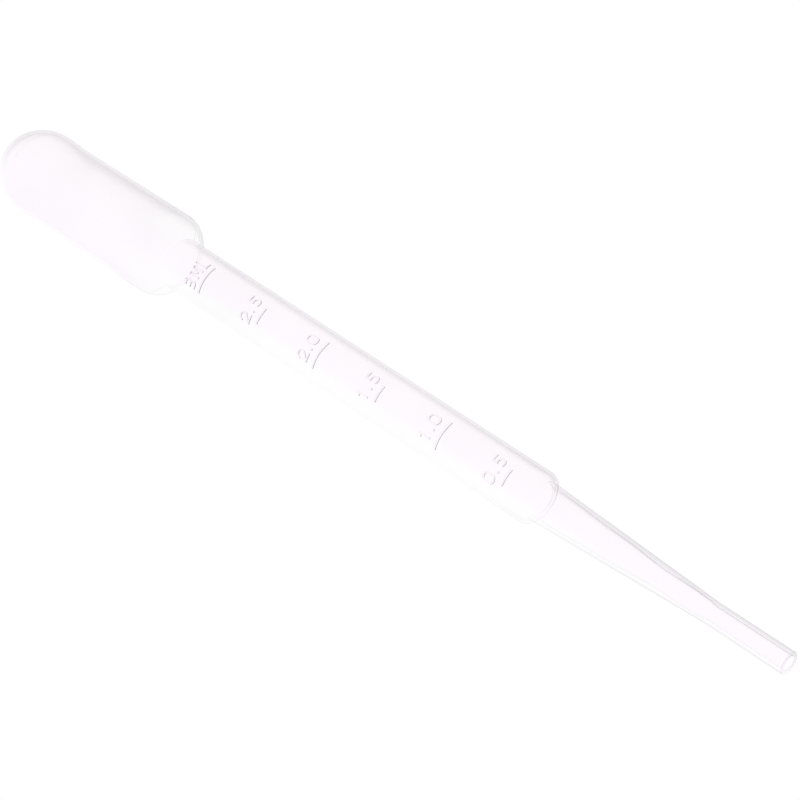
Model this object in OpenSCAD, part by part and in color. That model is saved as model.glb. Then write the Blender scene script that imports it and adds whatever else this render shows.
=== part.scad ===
// Squeeze dropper (graduated transfer pipette), moulded in one soft translucent piece.
// Frame: +X runs along the axis from the closed bulb to the open tip, +Z is up
// through the scale, and the origin lies under the middle, on the surface it rests on.

/* [Whole dropper] */
// Length from the closed end of the bulb to the open tip
total_len = 155.7; // [150:0.1:165]
// Wall of the bulb
bulb_wall = 0.5; // [0.4:0.05:0.7]

/* [Bulb] */
// Outer diameter of the bulb
bulb_od = 13.5; // [12.5:0.1:15]
// Length of the rounded closed end
dome_len = 7.5; // [6.8:0.1:8.5]
// Rounding of the shoulder, which ends at the neck
shoulder_round = 3.55; // [3.2:0.05:4.5]
// Length from the closed end to the neck
bulb_len = 39.5; // [38:0.5:46]
// Width of each wall that the fingers press, across the bulb
press_w = 8; // [6.5:0.1:8.4]
// Full ring of wall that stays round at each end of the pressed walls
end_ring_len = 2; // [1:0.25:4]
// Slit round a pressed wall, so that it moves free of the rest
press_slit = 0.1; // [0.05:0.01:0.2]

/* [Barrel] */
// Outer diameter of the graduated barrel
barrel_od = 8; // [7.8:0.05:8.4]
// Wall of the barrel
barrel_wall = 0.385; // [0.35:0.005:0.6]
// Length of the barrel from the neck to the lower step
barrel_len = 72.9; // [70:0.1:76]
// Rounding of the lower step
step_round = 1.1; // [0.9:0.05:1.3]

/* [Stem and tip] */
// Outer diameter of the stem below the step
stem_od = 6.05; // [5.6:0.05:6.2]
// Length of the taper
stem_len = 29.7; // [26:0.1:32]
// Outer diameter of the straight tip
tip_od = 3.3; // [3:0.05:3.6]
// Bore of the straight tip
tip_bore = 2.2; // [1.6:0.05:2.3]

/* [Scale] */
// Distance from the neck to the 3 mL mark
first_mark = 8.7; // [6:0.1:9]
// Volume between one mark and the next, in cubic millimetres
mark_volume = 500; // [450:10:520]
// Long mark, at each whole millilitre, across the barrel
long_mark = 4.5; // [3.5:0.1:5]
// Short mark, at each half millilitre, across the barrel
short_mark = 2.7; // [2:0.1:3]
// Width of a mark along the barrel
mark_w = 0.35; // [0.3:0.05:0.5]
// Height of the marks and numerals above the barrel
relief = 0.15; // [0.1:0.01:0.2]
// Height of a numeral
glyph_h = 2.145; // [1.6:0.005:2.3]
// Width of a numeral
glyph_w = 1.43; // [1.1:0.01:1.6]
// Stroke of a numeral
stroke = 0.308; // [0.2:0.004:0.34]
// Gap between the numerals and their mark
label_gap = 1.1; // [0.8:0.1:1.5]
// The same gap at the 3 mL mark, which is close to the neck
top_label_gap = 0.75; // [0.4:0.05:0.9]

/* [Hidden] */
$fn = 96;

soft_plastic = [0.93, 0.92, 0.95, 0.6];
raised_plastic = [0.78, 0.77, 0.82, 0.8];

bulb_r = bulb_od / 2;
barrel_r = barrel_od / 2;
bore_r = barrel_r - barrel_wall;
stem_r = stem_od / 2;
tip_r = tip_od / 2;
tip_wall = tip_r - tip_bore / 2;

// The shoulder's corner turns until it comes down to the barrel's outer radius.
shoulder_r = bulb_r - shoulder_round;
shoulder_x = bulb_len - sqrt(pow(shoulder_round, 2) - pow(barrel_r - shoulder_r, 2));
press_start = dome_len + end_ring_len;
press_end = shoulder_x - end_ring_len;

barrel_end = bulb_len + barrel_len;
stem_start = barrel_end + step_round;
tip_start = stem_start + stem_len;

// Equal volumes in an even bore give marks at equal distances.
mark_pitch = mark_volume / (PI * pow(bore_r, 2));

big = 60;
glyph_gap = 0.4;
dot_d = 0.36;
narrow = 1;

// Places a shape drawn along +Z from the bulb's closed end into the part's frame.
module along_axis(x = 0) {
    translate([x - total_len / 2, 0, bulb_r]) rotate([0, 90, 0]) children();
}

// Everything between two distances from the closed end.
module stretch(x0, x1) {
    along_axis(x0) translate([-big / 2, -big / 2, 0]) cube([big, big, x1 - x0]);
}

// A block as wide as the pressed walls, above the axis or below it.
module press_block(x0, x1, width, side) {
    translate([x0 - total_len / 2, -width / 2, bulb_r + (side < 0 ? -big : 0)])
        cube([x1 - x0, width, big]);
}

// The bulb's closed end, drawn in by the wall given, with a short straight run.
module dome_solid(wall) {
    r = bulb_r - wall;
    along_axis(dome_len) scale([1, 1, (dome_len - wall) / r]) sphere(r);
    along_axis(dome_len) cylinder(r = r, h = end_ring_len);
}

module bulb_dome() color(soft_plastic)
    intersection() {
        difference() {
            dome_solid(0);
            dome_solid(bulb_wall);
        }
        stretch(-1, press_start);
    }

// Section of the shoulder's wall, whose corner turns about [shoulder_r, 0].
module shoulder_section() {
    difference() {
        union() {
            translate([0, -end_ring_len]) square([bulb_r, end_ring_len]);
            square([shoulder_r, shoulder_round]);
            translate([shoulder_r, 0]) circle(shoulder_round);
        }
        translate([0, -end_ring_len]) square([bulb_r - bulb_wall, end_ring_len]);
        square([shoulder_r, shoulder_round - bulb_wall]);
        translate([shoulder_r, 0]) circle(shoulder_round - bulb_wall);
        square([bore_r, big]);
    }
}

module bulb_shoulder() color(soft_plastic)
    along_axis(shoulder_x) rotate_extrude() intersection() {
        shoulder_section();
        translate([0, -end_ring_len]) square([bulb_r, end_ring_len + bulb_len - shoulder_x]);
    }

// One tube of bulb wall between the two end rings.
module wall_tube(slit = 0) {
    along_axis(press_start + slit) difference() {
        cylinder(r = bulb_r, h = press_end - press_start - 2 * slit);
        translate([0, 0, -1]) cylinder(r = bulb_r - bulb_wall, h = big);
    }
}

// The standing part of the wall on one side: side is 1 for left (+Y), -1 for right.
module side_wall(side) color(soft_plastic)
    intersection() {
        wall_tube();
        translate([-total_len, side > 0 ? press_w / 2 : -press_w / 2 - big, -big / 2])
            cube([2 * total_len, big, 2 * big]);
    }

// The wall that a finger presses: side is 1 on top, -1 underneath.
module press_wall(side) color(soft_plastic)
    intersection() {
        wall_tube(press_slit);
        press_block(press_start, press_end, press_w - 2 * press_slit, side);
    }

module barrel() color(soft_plastic)
    along_axis(bulb_len) difference() {
        cylinder(r = barrel_r, h = barrel_len);
        translate([0, 0, -1]) cylinder(r = bore_r, h = barrel_len + 2);
    }

// Section through the step's wall, with its round corner, turned about the axis.
module step_section() {
    corner_r = barrel_r - step_round;
    inner_r = step_round - barrel_wall;
    intersection() {
        difference() {
            union() {
                square([corner_r, step_round]);
                translate([corner_r, 0]) circle(step_round);
            }
            square([corner_r, inner_r]);
            translate([corner_r, 0]) circle(inner_r);
            square([stem_r - tip_wall, big]);
        }
        square([barrel_r, step_round]);
    }
}

module lower_step() color(soft_plastic)
    along_axis(barrel_end) rotate_extrude() step_section();

module tapered_stem() color(soft_plastic)
    along_axis(stem_start) rotate_extrude() polygon([
        [stem_r - tip_wall, 0],
        [stem_r, 0],
        [tip_r, stem_len],
        [tip_r - tip_wall, stem_len]
    ]);

module tip_tube() color(soft_plastic)
    along_axis(tip_start) difference() {
        cylinder(r = tip_r, h = total_len - tip_start);
        translate([0, 0, -1]) cylinder(r = tip_bore / 2, h = big);
    }

// Raises a flat outline, drawn about the top line of the barrel, from its surface.
module raised(x) color(raised_plastic)
    intersection() {
        translate([x - total_len / 2, 0, bulb_r]) linear_extrude(big) children();
        along_axis(bulb_len) difference() {
            cylinder(r = barrel_r + relief, h = barrel_len);
            translate([0, 0, -1]) cylinder(r = barrel_r, h = barrel_len + 2);
        }
    }

// Marks count down from the neck: 0 is 3 mL and 5 is 0.5 mL.
function mark_x(i) = bulb_len + first_mark + i * mark_pitch;

module bar(length) {
    square([mark_w, length - mark_w], center = true);
    for (end = [-1, 1])
        translate([0, end * (length - mark_w) / 2]) circle(d = mark_w);
}

module mark(i) raised(mark_x(i)) bar(i % 2 == 0 ? long_mark : short_mark);

// Strokes of the numerals, in a box that starts at [0, 0], with round ends.
module end(point) translate(point) circle(d = stroke);

module line(a, b) {
    span = b - a;
    translate(a) rotate(atan2(span[1], span[0]))
        translate([0, -stroke / 2]) square([norm(span), stroke]);
    end(a);
    end(b);
}

function around(centre, r, angle) = centre + r * [cos(angle), sin(angle)];

// An arc of radius r from angle a0, turning through the angle given (up to 270).
module arc(centre, r, a0, turn)
    intersection() {
        translate(centre) difference() {
            circle(r + stroke / 2);
            circle(r - stroke / 2);
        }
        polygon(concat([centre], [for (k = [0:3]) around(centre, 2 * r, a0 + turn * k / 3)]));
    }

module glyph(symbol) {
    s = stroke / 2;
    w = glyph_w;
    h = glyph_h;
    r = (w - stroke) / 2;
    top = h - s;
    right = w - s;
    bowl = (h - stroke) / 4;
    if (symbol == "0") {
        arc([w / 2, top - r], r, 0, 180);
        arc([w / 2, s + r], r, 180, 180);
        line([s, s + r], [s, top - r]);
        line([right, s + r], [right, top - r]);
    }
    if (symbol == "1") {
        line([w / 2, s], [w / 2, top]);
        line([w / 2, top], [w / 4, top - w / 4]);
    }
    if (symbol == "2") {
        middle = [w / 2, top - r];
        foot = [s, s] - middle;
        touch = atan2(foot[1], foot[0]) + acos(r / norm(foot));
        arc(middle, r, touch, 170 - touch);
        end(around(middle, r, 170));
        line(around(middle, r, touch), [s, s]);
        line([s, s], [right, s]);
    }
    if (symbol == "3") {
        for (y = [s + bowl, top - bowl]) {
            arc([w / 2, y], bowl, -90, 180);
            line([w / 2, y - bowl], [w / 4, y - bowl]);
            line([w / 2, y + bowl], [w / 4, y + bowl]);
        }
    }
    if (symbol == "5") {
        middle = [w / 2, s + r];
        arc(middle, r, -120, 240);
        end(around(middle, r, -120));
        line([w / 4, top], around(middle, r, 120));
        line([w / 4, top], [right, top]);
    }
    if (symbol == "M") {
        line([s, s], [s, top]);
        line([s, top], [w / 2, h / 3]);
        line([w / 2, h / 3], [right, top]);
        line([right, top], [right, s]);
    }
    if (symbol == "L") {
        line([s, top], [s, s]);
        line([s, s], [narrow - s, s]);
    }
    if (symbol == ".") translate([dot_d / 2, dot_d / 2]) circle(d = dot_d);
}

function advance(symbol) =
    (symbol == "." ? dot_d : symbol == "L" ? narrow : glyph_w) + glyph_gap;

function written(word, count) = count == 0 ? 0 : advance(word[count - 1]) + written(word, count - 1);

// The numerals stand on the bulb's side of their mark and read with the tip held down.
module label(i, word) {
    gap = i == 0 ? top_label_gap : label_gap;
    width = written(word, len(word)) - glyph_gap;
    raised(mark_x(i) - mark_w / 2 - gap) rotate(90)
        for (k = [0:len(word) - 1])
            translate([written(word, k) - width / 2, 0]) glyph(word[k]);
}

bulb_dome();
side_wall(1);  // bulb_left_wall
side_wall(-1);  // bulb_right_wall
press_wall(1);  // bulb_thumb_wall
press_wall(-1);  // bulb_finger_wall
bulb_shoulder();
barrel();
lower_step();
tapered_stem();
tip_tube();
mark(0);  // mark_3_0
mark(1);  // mark_2_5
mark(2);  // mark_2_0
mark(3);  // mark_1_5
mark(4);  // mark_1_0
mark(5);  // mark_0_5
label(0, "3ML");  // numeral_3_ml
label(1, "2.5");  // numeral_2_5
label(2, "2.0");  // numeral_2_0
label(3, "1.5");  // numeral_1_5
label(4, "1.0");  // numeral_1_0
label(5, "0.5");  // numeral_0_5
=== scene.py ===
# Squeeze dropper: the moulded skin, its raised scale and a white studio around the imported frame.
import math

import bmesh
import bpy
from mathutils import Matrix, Vector


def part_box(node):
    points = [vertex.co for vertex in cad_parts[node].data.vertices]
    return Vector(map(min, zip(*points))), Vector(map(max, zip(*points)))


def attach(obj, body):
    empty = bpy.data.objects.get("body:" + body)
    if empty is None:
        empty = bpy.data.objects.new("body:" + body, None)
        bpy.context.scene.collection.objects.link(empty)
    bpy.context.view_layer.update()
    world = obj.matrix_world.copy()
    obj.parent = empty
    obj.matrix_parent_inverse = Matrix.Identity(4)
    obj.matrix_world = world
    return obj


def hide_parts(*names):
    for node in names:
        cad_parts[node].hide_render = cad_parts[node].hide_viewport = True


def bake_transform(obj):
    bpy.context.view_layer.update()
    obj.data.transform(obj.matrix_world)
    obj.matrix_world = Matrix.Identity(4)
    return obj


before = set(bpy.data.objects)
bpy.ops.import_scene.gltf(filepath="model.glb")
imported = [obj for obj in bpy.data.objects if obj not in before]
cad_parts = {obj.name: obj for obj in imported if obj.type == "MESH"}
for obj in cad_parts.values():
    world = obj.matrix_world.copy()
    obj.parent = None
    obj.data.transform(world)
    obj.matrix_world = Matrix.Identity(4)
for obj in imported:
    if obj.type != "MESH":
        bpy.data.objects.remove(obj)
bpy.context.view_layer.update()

mm = 0.001
xAxis = Vector((1, 0, 0))
yAxis = Vector((0, 1, 0))
quarterTurn = math.pi / 2
mergeGap = 0.001 * mm
sharpAngle = math.radians(40)


def span(node, axis):
    low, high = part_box(node)
    return low[axis], high[axis]


def radiusOf(node):
    low, high = span(node, 1)
    return (high - low) / 2


# The main radii and stations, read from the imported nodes.
bulbEnd = span("bulb_dome", 0)[0]
bulbRadius = radiusOf("bulb_dome")
neckX, stepX = span("barrel", 0)
barrelRadius = radiusOf("barrel")
stemX, tipX = span("tapered_stem", 0)
stemRadius = radiusOf("tapered_stem")
tipEnd = span("tip_tube", 0)[1]
tipRadius = radiusOf("tip_tube")
axisZ = sum(span("bulb_dome", 2)) / 2


def onAxis(x, radius=0.0):
    return Vector((x, 0, axisZ + radius))


# ---- camera ----

cameraSet = {
    "angle": math.radians(17.98),
    "distance": 355.7 * mm,
    "lean": math.radians(32.3),  # how far the tip leans towards the camera
    "roll": math.radians(33.22),  # how far the dropper falls to the right in the frame
    "alongTip": 7.85 * mm,  # from the middle of the dropper towards its tip
    "across": 0.9 * mm,
    "sensor": 36,
    "clip": (0.01, 10),
}


def makeCamera(settings):
    data = bpy.data.cameras.new("camera")
    data.sensor_width = settings["sensor"]
    data.angle = settings["angle"]
    data.clip_start, data.clip_end = settings["clip"]
    camera = bpy.data.objects.new("camera", data)
    bpy.context.scene.collection.objects.link(camera)
    lean, roll = settings["lean"], settings["roll"]
    back = Vector((math.sin(lean), 0, math.cos(lean)))
    along = Vector((math.cos(lean), 0, -math.sin(lean)))
    right = along * math.cos(roll) + yAxis * math.sin(roll)
    up = yAxis * math.cos(roll) - along * math.sin(roll)
    target = onAxis(settings["alongTip"]) + yAxis * settings["across"]
    place = Matrix((right, up, back)).transposed().to_4x4()
    place.translation = target + back * settings["distance"]
    camera.matrix_world = place
    bpy.context.scene.camera = camera


makeCamera(cameraSet)
print("camera placed")


# ---- materials ----

softPlastic = {
    "lavender": (0.997, 0.9865, 0.9985, 1),  # what one skin of the wall lets through
    "shadeTint": (0.9935, 0.983, 0.989, 1),  # the same with painted shade, a little darker and less blue, on the side towards +Y
    "clearest": (0.9995, 0.998, 0.9995, 1),  # the same where the skin is made paler: on the tube's -Y side, which is painted light, and on the bulb's shoulder by the neck
    "shadeTintAcross": (-1 * mm, 5 * mm),  # where lavender turns to the painted shade tint, measured along Y
    # the grey of the milky share, which at the edges gives painted shade as well as haze
    "haze": (0.42, 0.405, 0.45, 1),
    "roughness": 0.3,
    "lineSharpness": 5.0,
    "cloud": 0.012,  # the most haze that the clouds in the plastic add
    "cloudScale": 90,
    "cloudRange": (0.35, 0.7),
    "cloudAtStep": 0.3,  # the share of the clouds that is left at the step
}

bulbRamp = (neckX - 11 * mm, neckX - 5 * mm)
tubeRamp = (stepX - 14 * mm, tipX)
bulbSide = 4 * mm
tubeSide = 1.2 * mm

# Each skin gets painted shade: a band where it turns away on the +Y side, darker because of how light falls
# there, and a fine line at its very edge, partly the haze seen edge-on and partly painted shade.
# A pair in band and line gives the amount at the start and at the end of the ramp along the dropper.
# turn is how far the skin has turned away where the band starts and where it is full, and turnEnd is
# the same at the ramp's end. low is the share of the line that the -Y side keeps, and side is how far
# either side of the axis the +Y side takes to set in.
skins = {
    "bulbOutside": {
        "band": (0.15, 0.15),
        "turn": (0.41, 0.67),
        "turnEnd": (0.41, 0.67),
        "line": (0.012, 0.2),
        "low": 1.0,
        "side": bulbSide,
        "ramp": bulbRamp,
    },
    "bulbInside": {
        "band": (0.015, 0.015),
        "turn": (0.3, 0.6),
        "turnEnd": (0.3, 0.6),
        "line": (0.1, 0.14),
        "low": 0.08,
        "side": bulbSide,
        "ramp": bulbRamp,
    },
    "tubeOutside": {
        "band": (0.12, 0.135),
        "turn": (0.4, 0.62),
        "turnEnd": (0.27, 0.45),
        "line": (0.09, 0.7),
        "low": 1.0,
        "side": tubeSide,
        "ramp": tubeRamp,
    },
    "tubeInside": {
        "band": (0.03, 0.05),
        "turn": (0.38, 0.62),
        "turnEnd": (0.38, 0.62),
        "line": (0.09, 1.3),
        "low": 0.25,
        "side": tubeSide,
        "ramp": tubeRamp,
    },
}

# hidden is where the painted edge shade is left out behind the neck; the shoulder by the neck is made paler
neckShade = {
    "hiddenAcross": (3.4 * mm, 4.4 * mm),
    "hiddenAlong": (neckX - 6 * mm, neckX - 3 * mm),
    "paleShareAcross": (1 * mm, 3.5 * mm),
    "paleShareAlong": (neckX - 7 * mm, neckX - 3 * mm),
}

# hidden is where the painted edge shade is left out by the step; the -Y side is painted paler, as the side
# the light falls on
stepShade = {
    "hiddenFrom": (stepX - mm, stepX),
    "hiddenTo": (stemX + 0.8 * mm, stemX + 0.3 * mm),
    "hiddenUp": (axisZ - mm, axisZ + mm),
    "hiddenAcross": (2.2 * mm, 3 * mm),
    "paleShareAcross": (-0.5 * mm, -2.6 * mm),
}

# a fine ring of painted shade on the tip's rounded rim
tipShade = {
    "rimFrom": (tipEnd - 0.14 * mm, tipEnd - 0.07 * mm),
    "rimTo": (tipEnd, tipEnd - 0.04 * mm),
    "rim": 0.3,
}


class Graph:
    # a few shorthands for building a material from plain nodes
    def __init__(self, name):
        self.material = bpy.data.materials.new(name)
        self.material.use_nodes = True
        self.nodes = self.material.node_tree.nodes
        self.links = self.material.node_tree.links
        self.shader = self.nodes["Principled BSDF"]

    def feed(self, socket, value):
        if isinstance(value, bpy.types.NodeSocket):
            self.links.new(value, socket)
        else:
            socket.default_value = value

    def coordinate(self, kind):
        return self.nodes.new("ShaderNodeTexCoord").outputs[kind]

    def calc(self, operation, a, b=0.0):
        node = self.nodes.new("ShaderNodeMath")
        node.operation = operation
        self.feed(node.inputs[0], a)
        self.feed(node.inputs[1], b)
        return node.outputs[0]

    def times(self, first, *others):
        for other in others:
            first = self.calc("MULTIPLY", first, other)
        return first

    def without(self, share):
        return self.calc("SUBTRACT", 1.0, share)

    def ramp(self, source, low, high, start=0.0, end=1.0):
        node = self.nodes.new("ShaderNodeMapRange")
        node.interpolation_type = "SMOOTHSTEP"
        values = {"Value": source, "From Min": low, "From Max": high, "To Min": start, "To Max": end}
        for key, value in values.items():
            self.feed(node.inputs[key], value)
        return node.outputs["Result"]

    def split(self, vector):
        node = self.nodes.new("ShaderNodeSeparateXYZ")
        self.feed(node.inputs[0], vector)
        return node.outputs

    def tint(self, share, first, second):
        node = self.nodes.new("ShaderNodeMixRGB")
        for socket, value in zip(node.inputs, (share, first, second)):
            self.feed(socket, value)
        return node.outputs[0]

    def haze(self, colour):
        self.shader.inputs["Base Color"].default_value = colour
        self.shader.inputs["Roughness"].default_value = softPlastic["roughness"]

    def clearMix(self, share, tint):
        # the milky plastic by its share, and a clear view through for the rest
        clear = self.nodes.new("ShaderNodeBsdfTransparent")
        self.feed(clear.inputs["Color"], tint)
        mix = self.nodes.new("ShaderNodeMixShader")
        self.feed(mix.inputs[0], share)
        self.feed(mix.inputs[1], clear.outputs[0])
        self.feed(mix.inputs[2], self.shader.outputs[0])
        self.feed(self.nodes["Material Output"].inputs["Surface"], mix.outputs[0])


def edgeShade(graph, skin, x, y):
    # the painted edge shade of one skin: the band on the +Y side and the fine line at its edge
    weight = graph.nodes.new("ShaderNodeLayerWeight")
    weight.inputs["Blend"].default_value = 0.5
    turned = weight.outputs["Facing"]
    # side grows from -Y to +Y, so the band of painted shade sits on the +Y side
    side = graph.ramp(y, -skin["side"], skin["side"])
    low, high = (graph.ramp(x, *skin["ramp"], *pair) for pair in zip(skin["turn"], skin["turnEnd"]))
    band = graph.times(graph.ramp(turned, low, high), graph.ramp(x, *skin["ramp"], *skin["band"]), side)
    edge = graph.calc("POWER", turned, softPlastic["lineSharpness"])
    kept = graph.ramp(side, 0.0, 1.0, skin["low"], 1.0)
    line = graph.times(edge, graph.ramp(x, *skin["ramp"], *skin["line"]), kept)
    return graph.calc("ADD", band, line)


def bulbShade(graph, dark, x, y):
    # the painted edge shade is left out on the skin behind the neck, and the shoulder is made paler
    s = neckShade
    across = graph.calc("ABSOLUTE", y)
    hidden = graph.times(graph.ramp(across, *s["hiddenAcross"], 1.0, 0.0), graph.ramp(x, *s["hiddenAlong"]))
    paleShare = graph.times(graph.ramp(across, *s["paleShareAcross"]), graph.ramp(x, *s["paleShareAlong"]))
    return graph.times(dark, graph.without(hidden)), paleShare


def tubeShade(graph, dark, x, y, z):
    # the painted edge shade is left out on the near side of the step, the -Y side is painted paler as the lit
    # side, and the tip's rim gets a fine ring of painted shade
    s = stepShade
    across = graph.calc("ABSOLUTE", y)
    hidden = graph.times(
        graph.ramp(x, *s["hiddenFrom"]),
        graph.ramp(x, *s["hiddenTo"]),
        graph.ramp(z, *s["hiddenUp"]),
        graph.ramp(across, *s["hiddenAcross"], 1.0, 0.0),
    )
    paleShare = graph.ramp(y, *s["paleShareAcross"])
    rim = graph.times(graph.ramp(x, *tipShade["rimFrom"]), graph.ramp(x, *tipShade["rimTo"]), tipShade["rim"])
    return graph.times(graph.calc("ADD", dark, rim), graph.without(hidden)), paleShare


def cloudShade(graph, place, x):
    s = softPlastic
    noise = graph.nodes.new("ShaderNodeTexNoise")
    noise.inputs["Scale"].default_value = s["cloudScale"]
    graph.feed(noise.inputs["Vector"], place)
    cloud = graph.ramp(noise.outputs["Fac"], *s["cloudRange"], 0.0, s["cloud"])
    return graph.times(cloud, graph.ramp(x, neckX, stepX, 1.0, s["cloudAtStep"]))


def makeSoftPlastic(name):
    s = softPlastic
    graph = Graph(name)
    graph.haze(s["haze"])
    place = graph.coordinate("Object")
    x, y, z = graph.split(place)
    dark = edgeShade(graph, skins[name], x, y)
    if name.startswith("bulb"):
        dark, paleShare = bulbShade(graph, dark, x, y)
    else:
        dark, paleShare = tubeShade(graph, dark, x, y, z)
    # painted shade: the colour seen through turns darker towards +Y
    colour = graph.tint(graph.ramp(y, *s["shadeTintAcross"]), s["lavender"], s["shadeTint"])
    colour = graph.tint(paleShare, colour, s["clearest"])
    graph.clearMix(graph.calc("ADD", dark, cloudShade(graph, place, x)), colour)
    return graph.material


def makeSeamPlastic():
    # the faces inside the wall where two skins meet are not seen
    graph = Graph("seamPlastic")
    graph.clearMix(0.0, (1, 1, 1, 1))
    return graph.material


plastics = {name: makeSoftPlastic(name) for name in skins}
seamPlastic = makeSeamPlastic()
print("plastic mixed")


# ---- shared drawing steps ----

def addObject(name, bm, material):
    mesh = bpy.data.meshes.new(name)
    bmesh.ops.recalc_face_normals(bm, faces=bm.faces)
    bm.to_mesh(mesh)
    bm.free()
    mesh.shade_smooth()
    mesh.set_sharp_from_angle(angle=sharpAngle)
    piece = bpy.data.objects.new(name, mesh)
    bpy.context.scene.collection.objects.link(piece)
    mesh.materials.append(material)
    return piece


def drawArc(bm, vert, centre, angle, steps):
    # a run of edges turned about a line across the dropper
    made = bmesh.ops.spin(bm, geom=[vert], cent=centre, axis=yAxis, angle=angle, steps=steps)
    return [g for g in made["geom_last"] if isinstance(g, bmesh.types.BMVert)][0]


def drawLine(bm, vert, end, steps):
    step = (end - vert.co) / steps
    for _ in range(steps):
        made = bmesh.ops.extrude_vert_indiv(bm, verts=[vert])
        vert = made["verts"][0]
        bmesh.ops.translate(bm, verts=[vert], vec=step)
    return vert


def turnProfile(bm, angle, steps, closed):
    geom = bm.verts[:] + bm.edges[:]
    bmesh.ops.spin(bm, geom=geom, cent=onAxis(0), axis=xAxis, angle=angle, steps=steps, use_merge=closed)
    bmesh.ops.remove_doubles(bm, verts=bm.verts, dist=mergeGap)


# ---- bulb ----

bulbSkin = {
    "wall": 0.5 * mm,
    "domeLength": 7.5 * mm,
    "shoulderRound": 3.55 * mm,
    "domeSteps": 20,
    "straightSteps": 28,
    "shoulderSteps": 14,
    "turnSteps": 72,
    "pressStart": 4.3 * mm,  # height above the axis where the skin starts to follow a press
    "bead": 0.019,  # how much wider the bulb is where its closed end begins
    "beadFade": 5 * mm,
    "waist": 0.011,  # how much narrower it is after that
    "waistEnd": 8 * mm,
    "waistFade": 18 * mm,
}


def ease(share):
    share = min(max(share, 0), 1)
    return share * share * (3 - 2 * share)


def bulbSwell(x):
    # the bulb's radius, as a share of its measured one
    s = bulbSkin
    past = x - bulbEnd - s["domeLength"]
    narrowed = (s["bead"] + s["waist"]) * ease(past / s["beadFade"])
    widened = s["waist"] * ease((past - s["waistEnd"]) / s["waistFade"])
    return 1 + s["bead"] - narrowed + widened


def drawBulbProfile(bm):
    s = bulbSkin
    domeX = bulbEnd + s["domeLength"]
    cornerRadius = bulbRadius - s["shoulderRound"]
    turn = math.acos((barrelRadius - cornerRadius) / s["shoulderRound"])
    shoulderX = neckX - s["shoulderRound"] * math.sin(turn)
    vert = bm.verts.new(onAxis(domeX - bulbRadius))
    vert = drawArc(bm, vert, onAxis(domeX), quarterTurn, s["domeSteps"])
    stretch = (s["domeLength"] / bulbRadius, 1, 1)
    bmesh.ops.scale(bm, vec=stretch, space=Matrix.Translation(-onAxis(domeX)), verts=bm.verts)
    vert = drawLine(bm, vert, onAxis(shoulderX, bulbRadius), s["straightSteps"])
    drawArc(bm, vert, onAxis(shoulderX, cornerRadius), turn, s["shoulderSteps"])
    for v in bm.verts:
        v.co.z = axisZ + (v.co.z - axisZ) * bulbSwell(v.co.x)


def makeBulbHalf(name, side, nodes):
    s = bulbSkin
    bm = bmesh.new()
    drawBulbProfile(bm)
    # the profile stands on the top line; a half turn either way from the side line makes one half
    toSide = Matrix.Rotation(-quarterTurn, 3, "X")
    bmesh.ops.rotate(bm, cent=onAxis(0), matrix=toSide, verts=bm.verts)
    turnProfile(bm, math.pi * side, s["turnSteps"], False)
    piece = addObject(name, bm, plastics["bulbOutside"])
    outward = sum((p.center.z - axisZ) * p.normal.z for p in piece.data.polygons)
    if outward < 0:
        piece.data.flip_normals()
    piece.data.materials.append(plastics["bulbInside"])
    piece.data.materials.append(seamPlastic)
    solidify = piece.modifiers.new("wall", "SOLIDIFY")
    solidify.thickness = s["wall"]
    solidify.offset = -1
    solidify.use_even_offset = True
    solidify.material_offset = 1
    solidify.material_offset_rim = 2
    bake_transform(piece)
    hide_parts(*nodes)


topNodes = ["bulb_dome", "bulb_left_wall", "bulb_right_wall", "bulb_thumb_wall"]
underNodes = ["bulb_shoulder", "bulb_finger_wall"]
makeBulbHalf("bulb_top_skin", 1, topNodes)
makeBulbHalf("bulb_under_skin", -1, underNodes)
print("bulb moulded")


# ---- barrel, stem and tip ----

tube = {
    "barrelWall": 0.385 * mm,
    "stemWall": 0.55 * mm,
    "stepRound": 1.1 * mm,
    "rimRound": 0.12 * mm,
    "ripple": 0.07 * mm,  # how uneven the inside of the stem is, in each of two waves
    "rippleLengths": (1.9 * mm, 3.1 * mm),
    "barrelSteps": 48,
    "stepSteps": 8,
    "stemSteps": 28,
    "innerStemSteps": 36,
    "tipSteps": 12,
    "rimSteps": 4,
    "turnSteps": 96,
}


def drawTubeOutside(bm, vert):
    s = tube
    rim = s["rimRound"]
    vert = drawLine(bm, vert, onAxis(stepX, barrelRadius), s["barrelSteps"])
    vert = drawArc(bm, vert, onAxis(stepX, barrelRadius - s["stepRound"]), quarterTurn, s["stepSteps"])
    vert = drawLine(bm, vert, onAxis(stemX, stemRadius), 1)
    vert = drawLine(bm, vert, onAxis(tipX, tipRadius), s["stemSteps"])
    vert = drawLine(bm, vert, onAxis(tipEnd - rim, tipRadius), s["tipSteps"])
    return drawArc(bm, vert, onAxis(tipEnd - rim, tipRadius - rim), quarterTurn, s["rimSteps"])


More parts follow.
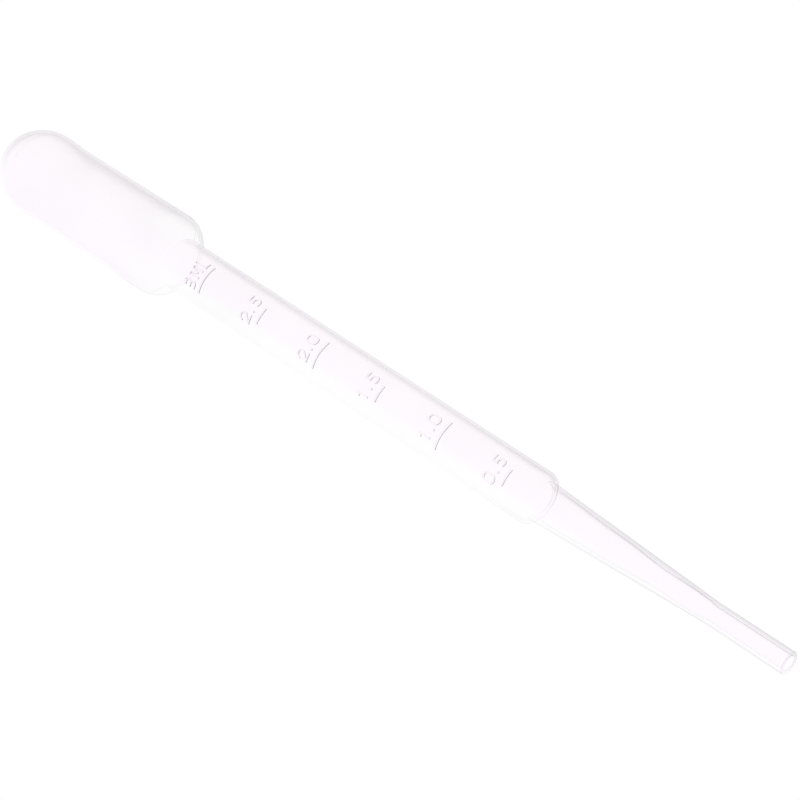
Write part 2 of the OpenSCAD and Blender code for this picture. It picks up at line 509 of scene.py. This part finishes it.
def drawTubeInside(bm, vert):
    # back from the tip's rim to the neck
    s = tube
    rim, bend, wall = s["rimRound"], s["stepRound"], s["barrelWall"]
    tipBore = tipRadius - s["stemWall"]
    stemBore = stemRadius - s["stemWall"]
    shelfX = stepX + bend - wall
    vert = drawLine(bm, vert, onAxis(tipEnd, tipBore + rim), 1)
    vert = drawArc(bm, vert, onAxis(tipEnd - rim, tipBore + rim), quarterTurn, s["rimSteps"])
    vert = drawLine(bm, vert, onAxis(tipX, tipBore), s["tipSteps"])
    count = len(bm.verts)
    vert = drawLine(bm, vert, onAxis(stemX, stemBore), s["innerStemSteps"])
    bm.verts.ensure_lookup_table()
    for v in bm.verts[count:-1]:
        v.co.z += s["ripple"] * sum(math.sin(v.co.x / length) for length in s["rippleLengths"])
    vert = drawLine(bm, vert, onAxis(shelfX, stemBore), 1)
    vert = drawLine(bm, vert, onAxis(shelfX, barrelRadius - bend), 2)
    vert = drawArc(bm, vert, onAxis(stepX, barrelRadius - bend), -quarterTurn, s["stepSteps"])
    return drawLine(bm, vert, onAxis(neckX, barrelRadius - wall), s["barrelSteps"])


def isInside(polygon):
    # faces that look at the axis, and the back of the step's shelf
    radial = Vector((0, polygon.center.y, polygon.center.z - axisZ))
    inward = polygon.normal.dot(radial) < 0
    behindStep = stepX < polygon.center.x < stemX and radial.length < barrelRadius - tube["barrelWall"]
    return inward or (behindStep and polygon.normal.x < 0)


def makeTube(name):
    bm = bmesh.new()
    start = bm.verts.new(onAxis(neckX, barrelRadius))
    end = drawTubeInside(bm, drawTubeOutside(bm, start))
    bm.edges.new((end, start))
    turnProfile(bm, math.tau, tube["turnSteps"], True)
    piece = addObject(name, bm, plastics["tubeOutside"])
    piece.data.materials.append(plastics["tubeInside"])
    for polygon in piece.data.polygons:
        polygon.material_index = int(isInside(polygon))
    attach(piece, "dropper")
    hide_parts("barrel", "lower_step", "tapered_stem", "tip_tube")


makeTube("barrel_stem_tip")
print("barrel, stem and tip moulded")


# ---- raised scale ----

raisedScale = {
    # the grey of the strokes' haze and of their painted shade
    "haze": (0.30, 0.29, 0.31, 1),
    "flat": 0.05,
    "tipFacingShade": 0.95,  # painted shade on the strokes' faces that look to the tip
    "turn": (0.1, 0.75),  # how far a face looks to the tip where it starts to darken and where it is full
    "weld": 0.002 * mm,
    "bevel": 0.09 * mm,
    "bevelSteps": 2,
    "bevelAngle": math.radians(50),
}


def makeRaisedScale(settings):
    graph = Graph("raisedScale")
    graph.haze(settings["haze"])
    # faces that look to the tip are given painted shade
    towardsTip = graph.split(graph.coordinate("Normal"))[0]
    share = graph.ramp(towardsTip, *settings["turn"], settings["flat"], settings["tipFacingShade"])
    behind = graph.nodes.new("ShaderNodeNewGeometry").outputs["Backfacing"]
    graph.clearMix(graph.times(share, graph.without(behind)), softPlastic["lavender"])
    return graph.material


def finishStrokes(node, settings, material):
    node.data.materials.clear()
    node.data.materials.append(material)
    weld = node.modifiers.new("weld", "WELD")
    weld.merge_threshold = settings["weld"]
    bevel = node.modifiers.new("bevel", "BEVEL")
    bevel.width = settings["bevel"]
    bevel.segments = settings["bevelSteps"]
    bevel.limit_method = "ANGLE"
    bevel.angle_limit = settings["bevelAngle"]
    node.data.shade_smooth()


scalePlastic = makeRaisedScale(raisedScale)
for name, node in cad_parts.items():
    if name.startswith(("mark_", "numeral_")):
        finishStrokes(node, raisedScale, scalePlastic)
print("scale finished")


# ---- studio ----

studio = {
    "colour": (1, 1, 1, 1),
    "level": 1.01,
}


def makeWorld(settings):
    world = bpy.data.worlds.new("studio")
    bpy.context.scene.world = world
    world.use_nodes = True
    background = world.node_tree.nodes["Background"]
    background.inputs["Color"].default_value = settings["colour"]
    background.inputs["Strength"].default_value = settings["level"]


makeWorld(studio)
bpy.context.scene.view_settings.view_transform = "Standard"
print("studio lit")
